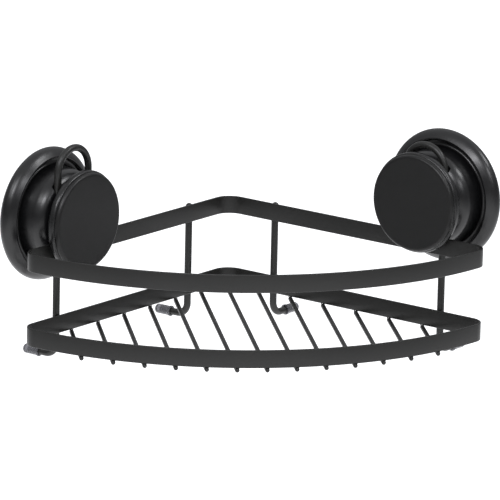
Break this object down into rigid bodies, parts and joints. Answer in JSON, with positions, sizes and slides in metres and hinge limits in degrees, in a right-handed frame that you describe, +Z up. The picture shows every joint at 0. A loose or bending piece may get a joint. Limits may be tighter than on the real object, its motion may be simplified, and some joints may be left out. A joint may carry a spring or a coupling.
{
  "type": "shower caddy",
  "caption": "Corner shower basket of flat bands and wires, hung on the two walls by twist-lock suction cups",
  "frame": {"origin": "the rearmost point of the lower band, at its lower edge, level with the top of the floor wires; the two walls meet on an upright line 46.7 mm behind it", "axes": "+Z up, -Y out of the corner into the room, +X to the right seen from the room; the walls stand at 45 degrees to X and Y"},
  "size_m": [0.3314, 0.2174, 0.1478],
  "materials": {
    "black_coating": "satin black powder coat",
    "gloss_black": "polished",
    "satin_black": "fine satin",
    "clear_rubber": "clear, soft",
    "soft_vinyl": "smooth, soft",
    "steel": "plated",
    "nylon": "matt",
    "brass": "turned"
  },
  "bodies": {
    "basket": {"top_band": "black_coating", "bottom_band": "black_coating", "floor_wire_01": "black_coating", "floor_wire_02": "black_coating", "floor_wire_03": "black_coating", "floor_wire_04": "black_coating", "floor_wire_05": "black_coating", "floor_wire_06": "black_coating", "floor_wire_07": "black_coating", "floor_wire_08": "black_coating", "floor_wire_09": "black_coating", "floor_wire_10": "black_coating", "floor_wire_11": "black_coating", "floor_wire_12": "black_coating", "floor_wire_13": "black_coating", "upright_left": "black_coating", "upright_right": "black_coating", "hanger_wire_left": "black_coating", "hanger_wire_right": "black_coating", "wall_cap_rear_left": "clear_rubber", "wall_cap_rear_right": "clear_rubber", "wall_cap_front_left": "clear_rubber", "wall_cap_front_right": "clear_rubber"},
    "cup_left": {"housing_left": "gloss_black", "suction_pad_left": "soft_vinyl", "thrust_washer_left": "nylon"},
    "stud_left": {"pull_stud_left": "steel"},
    "knob_left": {"knob_body_left": "gloss_black", "knob_cap_left": "satin_black", "thread_insert_left": "brass"},
    "cup_right": {"housing_right": "gloss_black", "suction_pad_right": "soft_vinyl", "thrust_washer_right": "nylon"},
    "stud_right": {"pull_stud_right": "steel"},
    "knob_right": {"knob_body_right": "gloss_black", "knob_cap_right": "satin_black", "thread_insert_right": "brass"}
  },
  "joints": [
    {"name": "cup_slide_left", "type": "slide", "parent": "basket", "child": "cup_left", "axis": [0, 0, 1], "range_m": [0, 0.0102]},
    {"name": "knob_turn_left", "type": "hinge", "parent": "cup_left", "child": "knob_left", "pos_m": [-0.13605, -0.08936, 0.074], "axis": [-0.7071, 0.7071, 0], "range_deg": [0, 360]},
    {"name": "stud_pull_left", "type": "slide", "parent": "cup_left", "child": "stud_left", "axis": [0.7071, -0.7071, 0], "range_m": [0, 0.0031], "deforming": ["suction_pad_left"]},
    {"name": "cup_slide_right", "type": "slide", "parent": "basket", "child": "cup_right", "axis": [0, 0, 1], "range_m": [-0.0102, 0]},
    {"name": "knob_turn_right", "type": "hinge", "parent": "cup_right", "child": "knob_right", "pos_m": [0.13605, -0.08936, 0.0842], "axis": [0.7071, 0.7071, 0], "range_deg": [0, 360]},
    {"name": "stud_pull_right", "type": "slide", "parent": "cup_right", "child": "stud_right", "axis": [-0.7071, -0.7071, 0], "range_m": [0, 0.0031], "deforming": ["suction_pad_right"]}
  ],
  "couplings": [
    {"joint": "stud_pull_left", "follows": "knob_turn_left", "m_per_rad": 0.000477},
    {"joint": "stud_pull_right", "follows": "knob_turn_right", "m_per_rad": 0.000477}
  ]
}
